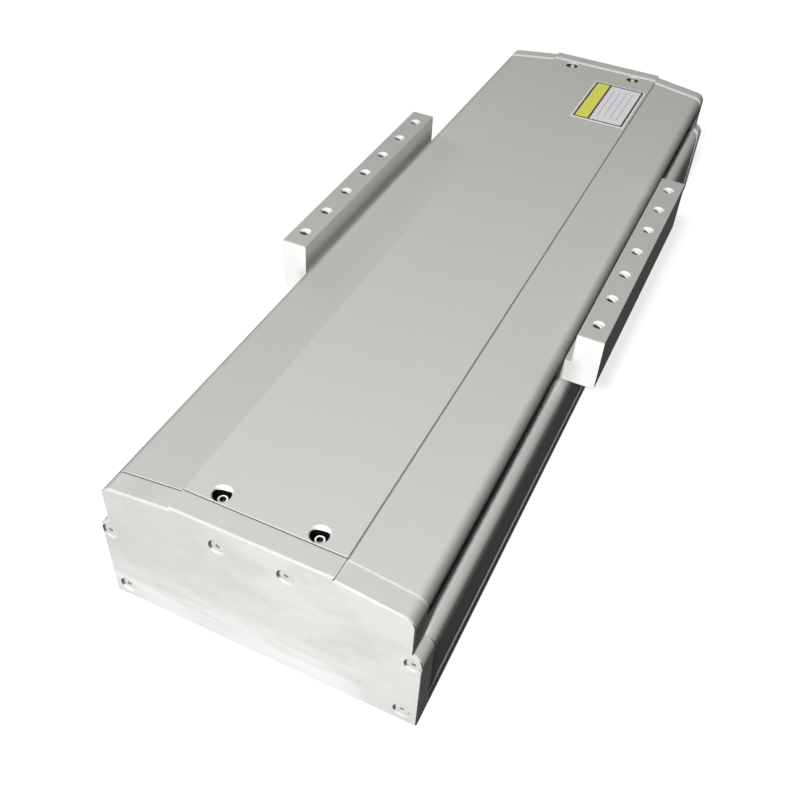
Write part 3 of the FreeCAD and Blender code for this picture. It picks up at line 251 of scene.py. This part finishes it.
def end_rim(side, width, left=-1.0, right=1.0):
    """The rim of an end plate beside the cover, between left and right along X, where the joints with
    the cover get painted shade and painted highlights.

    side is -1 in front and 1 at the rear. Without left and right the whole rim is marked.
    """
    def mask(graph):
        outward = graph.product(graph.axis("Y"), side)
        beside = graph.between(outward, 0.0, COVER_HIGH.y + width)
        return graph.product(beside, graph.between(graph.axis("X"), left, right))
    return mask


def rounded_edge(half, width):
    """Grows over the width, towards the two long edges that lie half from the middle; it carries
    painted shade on rounded edges.
    """
    past_edge = 0.0002

    def mask(graph):
        return graph.ramp(graph.axis("X", size=True), half - width, half + past_edge)
    return mask


def plate_corners(graph):
    """The rounded corners of the end plates, painted darker towards the sides as shade."""
    cover_share = 0.60
    base_share = 0.36
    cover_corner = rounded_edge(COVER_HIGH.x, width=0.0075)(graph)
    base_corner = rounded_edge(BASE_HIGH.x, width=0.0050)(graph)
    upper = graph.ramp(graph.axis("Z"), SHOULDER_FOOT, SHOULDER_FOOT + 0.022)
    by_cover = graph.product(cover_corner, cover_share, upper)
    by_base = graph.product(base_corner, base_share)
    return graph.product(graph.math("MAXIMUM", by_cover, by_base), graph.flip(end_faces(graph)))


def sink_crescents(graph):
    """Painted shadow on the upper left quarter of the sinks around the plates' screws."""
    upright = 0.30
    flat = 0.95
    lean = graph.total([(graph.slope("X"), 0.8), (graph.slope("Z"), -0.6)])
    sunk = graph.between(graph.slope("Y", size=True), upright, flat)
    return graph.product(graph.ramp(lean, start=0.10, end=0.35), sunk)


def floor_reflection_streaks(graph):
    """Pale streaks along a plate's lower edge: a painted reflection of the floor."""
    streaked = graph.noise((11.0, 11.0, 95.0), detail=3.0)
    streaks = graph.ramp(streaked, start=-0.21, end=0.07)
    low = graph.ramp(graph.axis("Z"), start=0.042, end=0.016)
    left = graph.ramp(graph.axis("X"), start=0.095, end=0.050)
    return graph.product(low, streaks, left)


def darker_upper_left(graph):
    """The upper left of the end faces, painted darker in patches."""
    stray = 0.22
    patch = graph.noise((14.0, 14.0, 20.0), detail=4.0, roughness=0.6)
    border = graph.total([(patch, stray)], graph.axis("X"))
    faded = graph.ramp(border, start=0.03, end=-0.07)
    upper = graph.ramp(graph.axis("Z"), start=0.015, end=0.070)
    return graph.product(end_faces(graph), faded, upper)


def end_patches(graph):
    """Dull patches on the end faces."""
    patch = graph.noise((22.0, 22.0, 34.0), detail=4.0, roughness=0.6)
    return graph.product(end_faces(graph), graph.ramp(patch, start=-0.03, end=0.16))


# Masks of the arms

def bar_bores(graph):
    """The walls and mouths of the threaded holes in the bars."""
    half_mouth = 0.0047
    end_margin = 0.001
    half_length = (ARM_HIGH.y - ARM_LOW.y) / 2
    from_row = graph.math("SUBTRACT", graph.axis("X", size=True), ARM_HIGH.x - BAR_WIDTH / 2)
    from_middle = graph.math("SUBTRACT", graph.axis("Y"), (ARM_LOW.y + ARM_HIGH.y) / 2)
    near = graph.below(graph.size(from_row), half_mouth)
    inside = graph.below(graph.size(from_middle), half_length - end_margin)
    return graph.product(near, inside, graph.flip(graph.facing("Z")))


def bore_shade(graph):
    """Painted shade in the depth of the bars' holes and on the front left of their mouths."""
    dark_depth = 0.0042
    rise_on_left = 0.0022
    lip = 0.55
    leaned = graph.total([(graph.slope("X"), rise_on_left)], graph.depth(ARM_HIGH.z))
    deep = graph.above(leaned, dark_depth)
    inward = graph.total([(graph.slope("X"), 0.5)], graph.slope("Y"))
    near_lip = graph.above(inward, lip)
    return graph.product(bar_bores(graph), graph.math("MAXIMUM", deep, near_lip))


def feet(graph):
    """The duller ends of the arms' feet, which fade out under the bars."""
    by_foot = graph.ramp(graph.axis("X", size=True), BAR_INNER + 0.012, BAR_INNER - 0.002)
    low = graph.ramp(graph.axis("Z"), ARM_LOW.z + 0.026, ARM_LOW.z + 0.016)
    return graph.product(end_faces(graph), by_foot, low)


def inner_faces(graph):
    """The inner faces of the arms' bars, painted lighter as the light that falls on them, less so
    further down.
    """
    slack = 0.0005
    near = graph.below(graph.axis("X", size=True), BAR_INNER + slack)
    near_top = graph.ramp(graph.depth(ARM_HIGH.z), start=0.050, end=0.008)
    return graph.product(graph.facing("X"), near, near_top)


# Masks of the base

def side_walls(start, end):
    """The base's side walls: grows between two depths below the base's top; it carries painted
    highlight and painted shade.
    """
    skin = 0.0045

    def mask(graph):
        outside = graph.above(graph.axis("X", size=True), BASE_HIGH.x - skin)
        return graph.product(outside, graph.ramp(graph.depth(BASE_HIGH.z), start, end))
    return mask


def crest_highlight(graph):
    """Painted highlight along the crest of the base's rounded shoulders."""
    from_side = 0.0080
    crest = BASE_HIGH.x - from_side
    beside = graph.size(graph.math("SUBTRACT", graph.axis("X", size=True), crest))
    upper = graph.above(graph.axis("Z"), SHOULDER_FOOT)
    return graph.product(graph.ramp(beside, start=0.0034, end=0.0010), upper)


def slot_land(graph):
    """The flat top of the base's walls, painted dark as the shade under the cover."""
    inner = BASE_HIGH.x - SHOULDER_WIDTH
    reached = graph.ramp(graph.axis("X", size=True), inner + 0.0012, inner - 0.0004)
    return graph.product(reached, graph.ramp(graph.depth(BASE_HIGH.z), start=0.0022, end=0.0004))


# Masks of the cover and its screws

def step_shade(graph):
    """Painted shade on the low upright steps beside the cover's raised centre, and on a strip at their
    foot.
    """
    slack = 0.0003
    shade_width = 0.0007
    shade_height = 0.0006
    depth = graph.depth(COVER_HIGH.z)
    step = graph.product(graph.facing("X"), graph.below(depth, STEP_HEIGHT + slack))
    by_foot = graph.below(graph.axis("X", size=True), CENTRE_HALF + shade_width)
    foot = graph.product(by_foot, graph.math("COMPARE", depth, STEP_HEIGHT, shade_height))
    return graph.math("MAXIMUM", step, foot)


def warm_end(graph):
    """A faint warm tone towards the rear end."""
    return graph.ramp(graph.axis("Y"), start=0.14, end=0.33)


def left_slope(graph):
    """The slope left of the raised centre, painted a little darker as shade; it fades towards the rear.
    """
    left = graph.below(graph.axis("X"), -CENTRE_HALF)
    return graph.product(left, graph.ramp(graph.axis("Y"), start=0.10, end=-0.22))


def cover_lip(graph):
    """The lowest part of the cover's sides and its inside, painted dark as the shade above the slots.
    """
    return graph.ramp(graph.axis("Z"), COVER_LOW.z + 0.0050, COVER_LOW.z + 0.0005)


def from_cover_screws(graph):
    """The distance from the nearest cover screw's axis."""
    row_x = SCREWS_HIGH.x - SCREW_RADIUS
    row_y = -(SCREWS_LOW.y + SCREWS_HIGH.y) / 2
    across = graph.math("SUBTRACT", graph.axis("X", size=True), row_x)
    along = graph.math("SUBTRACT", graph.axis("Y", size=True), row_y)
    return graph.math("SQRT", graph.total([(across, across), (along, along)]))


def rear_half(graph):
    """1 on the half of the part that lies behind the middle of its length."""
    return graph.above(graph.axis("Y"), 0.0)


def toward_light(graph):
    """How far the walls of the cover's screw bores face the light."""
    leaned = graph.total([(graph.slope("X"), 0.15), (graph.slope("Y"), -0.99)])
    return graph.math("MAXIMUM", leaned, 0.0)


def light_reach(graph):
    """How deep the light falls on the walls of the cover's screw bores."""
    least = 0.0013
    front_reach = 0.0030
    rear_reach = 0.0075
    toward = toward_light(graph)
    rear = rear_half(graph)
    at_front = graph.product(toward, toward, front_reach)
    at_rear = graph.product(graph.ramp(toward, start=0.93, end=0.99), rear_reach)
    return graph.total([(rear, at_rear), (graph.flip(rear), at_front)], least)


def screw_bores(graph):
    """Painted shade on the walls of the cover's screw bores, below the light that reaches them."""
    rear_loss = -0.10
    inside = graph.below(from_cover_screws(graph), BORE_RADIUS)
    deep = graph.above(graph.depth(COVER_HIGH.z), light_reach(graph))
    return graph.product(inside, deep, graph.total([(rear_half(graph), rear_loss)], 1.0))


def screw_mouths(graph):
    """Painted light on the upper walls and mouths of the front cover screws' bores."""
    skin = 0.0001
    inside = graph.below(from_cover_screws(graph), BORE_RADIUS + BORE_MOUTH)
    lit = graph.between(graph.depth(COVER_HIGH.z), skin, light_reach(graph))
    faced = graph.ramp(toward_light(graph), start=0.1, end=0.7)
    return graph.product(inside, lit, faced, graph.flip(rear_half(graph)))


def screw_ring(inner, outer):
    """A ring on the heads of the cover screws, where painted highlight and painted shade go."""
    soft = 0.0003
    lowest = 0.0085

    def mask(graph):
        distance = from_cover_screws(graph)
        on_head = graph.below(graph.depth(COVER_HIGH.z), lowest)
        within = graph.ramp(distance, outer + soft, outer)
        beyond = graph.ramp(distance, inner - soft, inner)
        return graph.product(within, beyond, on_head)
    return mask


# Materials of the outside

FINE_GRAIN = (even(1800.0), 0.00003)

finish(
    "extruded_aluminium", color=(0.60, 0.60, 0.575), metallic=0.0, roughness=0.45,
    clouds=[((9.0, 4.0, 9.0), 0.05), (along_y(420.0, 1.5), 0.05)],
    rough_clouds=[((14.0, 5.0, 14.0), 0.10), (along_y(600.0, 3.0), 0.06)],
    grain=FINE_GRAIN, grooves=(along_y(500.0, 1.2), 0.00004),
    edge=(0.0005, 5.0, (0.84, 0.84, 0.82)),
    # Painted highlight where the shoulders round into the side walls, the plain colour below it, and
    # painted shade further down the walls
    marks=[(side_walls(start=0.0065, end=0.0105), 0.9, (0.95, 0.95, 0.92)),
           (side_walls(start=0.0105, end=0.0180), 0.9, (0.60, 0.60, 0.575)),
           (side_walls(start=0.0140, end=0.0240), 0.52, SHADE),
           (crest_highlight, 1.0, (1.0, 1.0, 0.975)),
           (slot_land, 1.0, SLOT_SHADE)],
    specular=0.0)
finish(
    "cover_aluminium", color=(0.60, 0.602, 0.574), metallic=0.03, roughness=0.45,
    clouds=[((6.0, 3.0, 6.0), 0.045), (along_y(300.0, 1.0), 0.02), (even(60.0), 0.015)],
    rough_clouds=[((8.0, 4.0, 8.0), 0.10), (along_y(500.0, 2.0), 0.05)],
    grain=FINE_GRAIN,
    edge=(0.0006, 5.0, (0.90, 0.90, 0.88)),
    marks=[(warm_end, 0.8, (0.60, 0.587, 0.548)),
           (left_slope, 1.0, (0.542, 0.547, 0.518)),
           (step_shade, 0.7, (0.20, 0.20, 0.195)),
           # Painted shade over the cover's rounded long edges
           (rounded_edge(COVER_HIGH.x, width=0.0075), 0.71, SHADE),
           (cover_lip, 0.85, SLOT_SHADE),
           (screw_bores, 1.0, (0.005, 0.005, 0.005)),
           (screw_mouths, 1.0, PAINTED_HIGHLIGHT)],
    specular=0.0)
finish(
    "plate_aluminium", color=(0.60, 0.60, 0.574), metallic=0.03, roughness=0.42,
    clouds=[((11.0, 11.0, 18.0), 0.15), ((32.0, 32.0, 48.0), 0.12), ((85.0, 85.0, 130.0), 0.08),
            ((900.0, 900.0, 60.0), 0.03)],
    rough_clouds=[((18.0, 18.0, 30.0), 0.25), (even(90.0), 0.08)],
    grain=(even(1400.0), 0.00003), grooves=((6.0, 6.0, 700.0), 0.00002),
    edge=(0.0011, 7.0, PAINTED_HIGHLIGHT),
    marks=[(plate_corners, 1.0, SHADE),
           # Painted reflection: the end faces are painted lighter than the sides, as the bright floor
           # they mirror
           (end_faces, 1.0, (0.77, 0.775, 0.75)),
           (darker_upper_left, 0.85, (0.67, 0.675, 0.65)),
           (end_patches, 0.38, (0.58, 0.585, 0.56)),
           (floor_reflection_streaks, 0.85, (0.94, 0.94, 0.925))],
    # Painted shade in the front joint up to the right edge of the raised centre, painted highlights on
    # the front joint right of it and along the rear joint
    painted_light_and_shade=[(end_rim(side=-1, width=0.0011, right=CENTRE_HALF), 0.85, (0.13, 0.13, 0.13)),
            (end_rim(side=-1, width=0.0009, left=CENTRE_HALF), 0.85, PAINTED_HIGHLIGHT),
            (end_rim(side=1, width=0.0042), 0.85, PAINTED_HIGHLIGHT),
            (sink_crescents, 1.0, (0.12, 0.12, 0.115))],
    specular=0.0)
finish(
    "arm_aluminium", color=(0.52, 0.52, 0.50), metallic=0.0, roughness=0.36,
    clouds=[((20.0, 10.0, 20.0), 0.05), (along_y(300.0, 4.0), 0.03)],
    rough_clouds=[((30.0, 12.0, 30.0), 0.14)],
    grain=(even(1500.0), 0.00003), grooves=(along_y(700.0, 8.0), 0.00003),
    edge=(0.0004, 4.0, (0.72, 0.72, 0.70)),
    marks=[(inner_faces, 1.0, (0.82, 0.82, 0.80)),
           # Painted light: the end faces are painted near white, as the light and reflection they catch
           (end_faces, 1.0, (0.98, 0.98, 0.965)),
           (feet, 1.0, (0.74, 0.74, 0.715)),
           # Painted light on the walls and mouths of the bars' holes
           (bar_bores, 1.0, (0.86, 0.86, 0.84))],
    painted_light_and_shade=[(bore_shade, 1.0, (0.07, 0.07, 0.07))],
    specular=0.0)
finish(
    "bright_bolt_steel", color=(0.58, 0.58, 0.575), metallic=0.75, roughness=0.30,
    clouds=[(even(120.0), 0.12), (even(700.0), 0.08)],
    rough_clouds=[(even(200.0), 0.2)],
    grain=(even(1500.0), 0.00003),
    edge=(0.0003, 4.0, (0.80, 0.80, 0.79)),
    # Painted highlight on the rim of the cover screws' heads, and painted shade on a ring in and around
    # their hex sockets
    marks=[(screw_ring(inner=0.0022, outer=0.0038), 1.0, (0.90, 0.90, 0.88))],
    painted_light_and_shade=[(screw_ring(inner=0.0009, outer=0.0020), 1.0, (0.03, 0.03, 0.03))])


# Materials of the inside

finish(
    "inner_aluminium", color=(0.58, 0.58, 0.575), metallic=0.7, roughness=0.34,
    clouds=[(even(25.0), 0.06), (along_y(500.0, 12.0), 0.05)],
    rough_clouds=[((40.0, 20.0, 40.0), 0.15)],
    grain=(even(1200.0), 0.00003), grooves=(along_y(600.0, 10.0), 0.00004),
    edge=(0.0005, 5.0, (0.80, 0.80, 0.79)))
finish(
    "rail_steel", color=(0.50, 0.51, 0.53), metallic=0.95, roughness=0.26,
    clouds=[((30.0, 6.0, 30.0), 0.06), (along_y(900.0, 3.0), 0.07)],
    rough_clouds=[((50.0, 8.0, 50.0), 0.12), (along_y(1200.0, 4.0), 0.08)],
    grooves=(along_y(1500.0, 4.0), 0.00002),
    edge=(0.0004, 5.0, (0.72, 0.73, 0.75)))
finish(
    "bearing_steel", color=(0.60, 0.61, 0.63), metallic=1.0, roughness=0.18,
    clouds=[(even(40.0), 0.05), (along_y(5.0, 900.0), 0.05)],
    rough_clouds=[(even(60.0), 0.10)],
    grooves=(along_y(5.0, 1200.0), 0.000015),
    edge=(0.0004, 5.0, (0.78, 0.79, 0.80)))
finish(
    "cast_housing", color=(0.035, 0.037, 0.040), metallic=0.55, roughness=0.42,
    clouds=[(even(30.0), 0.35), (even(400.0), 0.2)],
    rough_clouds=[(even(60.0), 0.2)],
    grain=(even(700.0), 0.00006),
    edge=(0.0006, 4.0, (0.18, 0.18, 0.19)))
finish(
    "bolt_steel", color=(0.13, 0.13, 0.135), metallic=0.9, roughness=0.32,
    clouds=[(even(90.0), 0.25), (even(600.0), 0.12)],
    rough_clouds=[(even(200.0), 0.2)],
    grain=(even(1500.0), 0.00003),
    edge=(0.0003, 4.0, (0.42, 0.42, 0.43)))
finish(
    "ball_chrome", color=(0.72, 0.72, 0.74), metallic=1.0, roughness=0.07,
    clouds=[(even(300.0), 0.05)],
    rough_clouds=[(even(500.0), 0.05)])
finish(
    "cap_plastic", color=(0.035, 0.13, 0.075), metallic=0.0, roughness=0.42,
    clouds=[(even(60.0), 0.12), (even(500.0), 0.06)],
    rough_clouds=[(even(150.0), 0.15)],
    grain=(even(1600.0), 0.00005),
    edge=(0.0004, 3.0, (0.10, 0.24, 0.16)))
finish(
    "seal_rubber", color=(0.018, 0.018, 0.019), metallic=0.0, roughness=0.62,
    clouds=[(even(80.0), 0.25)],
    rough_clouds=[(even(200.0), 0.15)],
    grain=(even(1200.0), 0.00006))
finish(
    "bumper_rubber", color=(0.026, 0.026, 0.027), metallic=0.0, roughness=0.68,
    clouds=[(even(90.0), 0.3)],
    rough_clouds=[(even(200.0), 0.15)],
    grain=(even(900.0), 0.00008))
finish(
    "spider_elastomer", color=(0.42, 0.03, 0.025), metallic=0.0, roughness=0.38,
    clouds=[(even(80.0), 0.15)],
    rough_clouds=[(even(200.0), 0.12)],
    grain=(even(1000.0), 0.00005), coat=0.2, coat_roughness=0.25)


# The blank label: a yellow band and an empty white field inside a thin dark frame

def label_film():
    low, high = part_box("blank_label")
    width = high.x - low.x
    length = high.y - low.y
    margin = 0.0016
    frame_line = 0.0019
    divider = 0.0020
    band_end = 0.0158
    rule_start = 0.0225
    rule_spacing = 0.0062
    rule_width = 0.0007
    rule_margin = 0.0120
    rule_count = 4
    paper = (0.88, 0.85, 0.89)
    yellow = (0.80, 0.79, 0.10)
    ink = (0.02, 0.02, 0.02)
    rule_grey = (0.40, 0.40, 0.43)

    graph = Surface("label_film")
    x = graph.math("SUBTRACT", graph.axis("X"), low.x)
    y = graph.math("SUBTRACT", graph.axis("Y"), low.y)

    def area(x0, x1, edge):
        """A rectangle from x0 to x1 that keeps the edge's distance from both ends."""
        return graph.product(graph.between(x, x0, x1), graph.between(y, edge, length - edge))

    inner = margin + frame_line
    color = graph.over((*paper, 1.0), area(margin, width - margin, margin), ink)
    color = graph.over(color, area(inner, band_end, inner), yellow)
    color = graph.over(color, area(band_end + divider, width - margin - divider, inner), paper)
    for row in range(rule_count):
        start = rule_start + rule_spacing * row
        color = graph.over(color, area(start, start + rule_width, rule_margin), rule_grey)
    tone = graph.clouds([(even(40.0), 0.06), (even(900.0), 0.03)])
    inputs = graph.shader.inputs
    inputs["Specular IOR Level"].default_value = 0.2
    graph.feed(inputs["Base Color"], graph.shaded(color, tone))
    graph.feed(inputs["Roughness"], graph.clouds([(even(120.0), 0.15)], 0.42))
    graph.feed(inputs["Normal"], graph.bump(even(300.0), 0.00004, detail=2.0))
    materials["label_film"] = graph.material


label_film()

for row in frame["record"]["subparts"]:
    slots = frame["nodes"][row["node"]].data.materials
    slots.clear()
    slots.append(materials[row["material_slot"]])


# The floor and the studio

def grey(value):
    return (value, value, value, 1.0)


def empty_graph(owner):
    """The cleared nodes of a material or a world."""
    owner.use_nodes = True
    owner.node_tree.nodes.clear()
    return Graph(owner.node_tree)


def mixed(graph, mask, first, second):
    """The first shader where mask is 0 and the second where it is 1."""
    inputs = {0: mask, 1: first.outputs[0], 2: second.outputs[0]}
    return graph.add("MixShader", None, inputs).outputs[0]


def background_mask(graph):
    """1 for the rays that see the background straight, in gloss or through glass."""
    path = graph.add("LightPath").outputs
    seen = graph.math("MAXIMUM", path["Is Camera Ray"], path["Is Glossy Ray"])
    return graph.math("MAXIMUM", seen, path["Is Transmission Ray"])


def floor_glow(graph):
    """The floor's own light: low enough near the object to show its shadow, white far from it."""
    place = graph.add("NewGeometry").outputs["Position"]
    away = graph.add("VectorMath", {"operation": "LENGTH"}, {0: place}).outputs["Value"]
    return graph.ramp(away, start=0.55, end=1.60, low=0.78, high=1.0)


def make_floor():
    """A wide floor just below the part."""
    half = 6.0
    z = -0.0004
    corners = [(-half, -half, z), (half, -half, z), (half, half, z), (-half, half, z)]
    mesh = bpy.data.meshes.new("floor")
    mesh.from_pydata(corners, [], [(0, 1, 2, 3)])
    floor = bpy.data.objects.new("floor", mesh)
    bpy.context.scene.collection.objects.link(floor)
    material = bpy.data.materials.new("floor")
    graph = empty_graph(material)
    pale = graph.add("BsdfDiffuse", None, {"Color": grey(0.45)})
    glow = graph.add("Emission", None, {"Strength": floor_glow(graph)})
    bright = graph.add("AddShader", None, {0: pale.outputs[0], 1: glow.outputs[0]})
    dim = graph.add("BsdfDiffuse", None, {"Color": grey(0.04)})
    surface = mixed(graph, background_mask(graph), dim, bright)
    graph.add("OutputMaterial", None, {"Surface": surface})
    mesh.materials.append(material)


def make_world():
    world = bpy.data.worlds.new("studio")
    bpy.context.scene.world = world
    graph = empty_graph(world)
    room = graph.add("Background", None, {"Color": grey(0.8), "Strength": 0.035})
    white = graph.add("Background", None, {"Color": grey(1.0), "Strength": 1.0})
    surface = mixed(graph, background_mask(graph), room, white)
    graph.add("OutputWorld", None, {"Surface": surface})


def soft_lamp(name, place, target, size, power):
    light = bpy.data.lights.new(name, "AREA")
    light.shape = "SQUARE"
    light.size = size
    light.energy = power
    lamp = bpy.data.objects.new(name, light)
    lamp.location = place
    lamp.rotation_euler = (Vector(target) - Vector(place)).to_track_quat("-Z", "Y").to_euler()
    bpy.context.scene.collection.objects.link(lamp)


def make_camera(place, yaw, pitch, roll, lens):
    """The photo's view; the angles are in degrees and lens is for a sensor 36 mm wide."""
    yaw, pitch, roll = (math.radians(angle) for angle in (yaw, pitch, roll))
    ahead = Vector((math.sin(yaw) * math.cos(pitch), math.cos(yaw) * math.cos(pitch), -math.sin(pitch)))
    level = Vector((math.cos(yaw), -math.sin(yaw), 0.0))
    above = level.cross(ahead)
    right = level * math.cos(roll) + above * math.sin(roll)
    up = above * math.cos(roll) - level * math.sin(roll)
    data = bpy.data.cameras.new("camera")
    data.sensor_width = 36.0
    data.lens = lens
    camera = bpy.data.objects.new("camera", data)
    turn = Matrix((right, up, -ahead)).transposed().to_4x4()
    camera.matrix_world = Matrix.Translation(place) @ turn
    bpy.context.scene.collection.objects.link(camera)
    bpy.context.scene.camera = camera


make_floor()
make_world()
soft_lamp("key", place=(0.12, -2.05, 1.80), target=(0.0, -0.05, 0.08), size=0.3, power=83.0)
soft_lamp("right_fill", place=(0.9, 1.5, 0.30), target=(0.0, 0.0, 0.05), size=0.5, power=3.8)
soft_lamp("left_fill", place=(-1.8, 1.2, 0.35), target=(0.0, 0.0, 0.05), size=0.5, power=13.0)
make_camera(place=(0.20044, -0.62470, 0.54602), yaw=-22.8298, pitch=43.6796, roll=3.7107, lens=43.387)
bpy.context.scene.view_settings.view_transform = "Standard"
